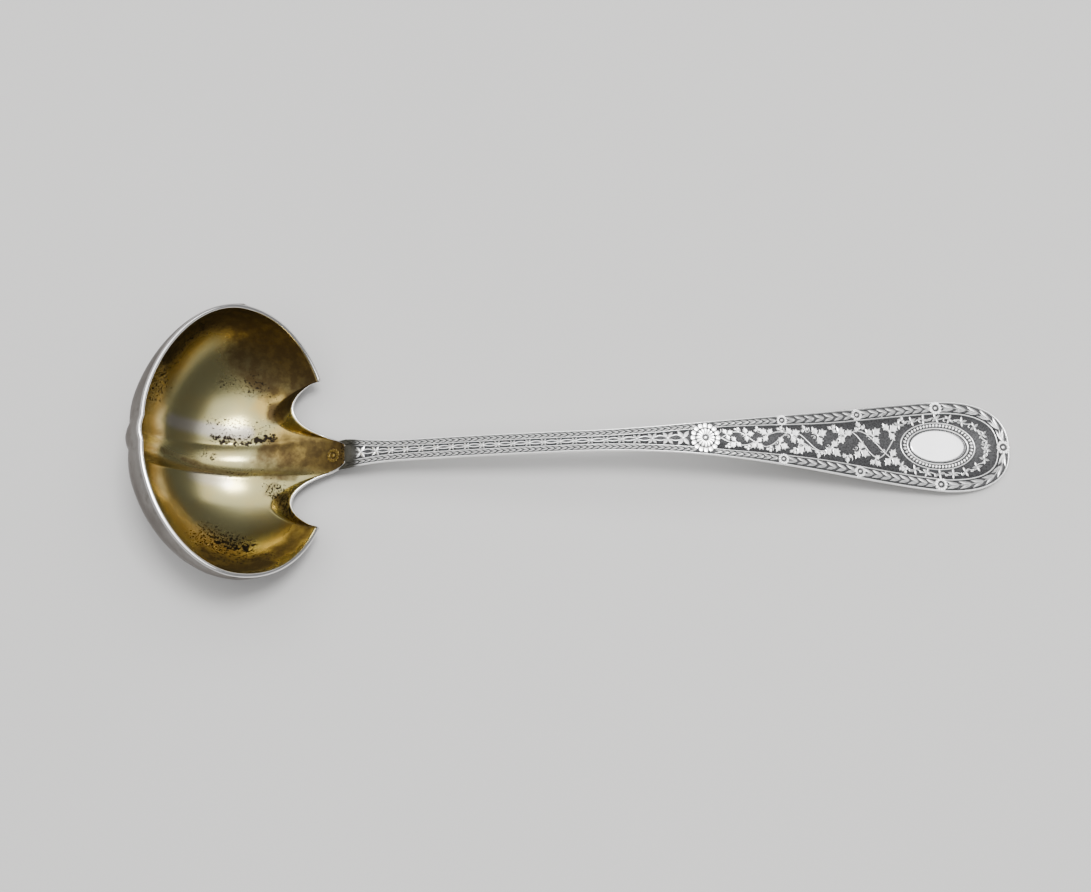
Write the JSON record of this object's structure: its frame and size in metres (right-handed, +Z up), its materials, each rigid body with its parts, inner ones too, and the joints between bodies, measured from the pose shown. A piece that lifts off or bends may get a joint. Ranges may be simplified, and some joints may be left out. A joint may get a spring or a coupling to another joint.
{
  "type": "gravy ladle",
  "caption": "Gravy ladle in one piece, with a wide two-lobed fluted bowl, two notches beside the neck, and a long arched carved handle that broadens to a plain oval.",
  "frame": {"origin": "middle of the ladle's box at the level of what it lies on", "axes": "+X along the handle from the bowl to the broad end, +Y across the bowl, +Z up"},
  "size_m": [0.1811, 0.056, 0.0306],
  "materials": {
    "silver": "polished sterling silver with dark tarnish in the sunk ground of the carving",
    "gilt": "worn pale gilding over silver inside the bowl, stained near the rim and the notches"
  },
  "bodies": {
    "root": {"ladle": "silver"}
  },
  "joints": []
}
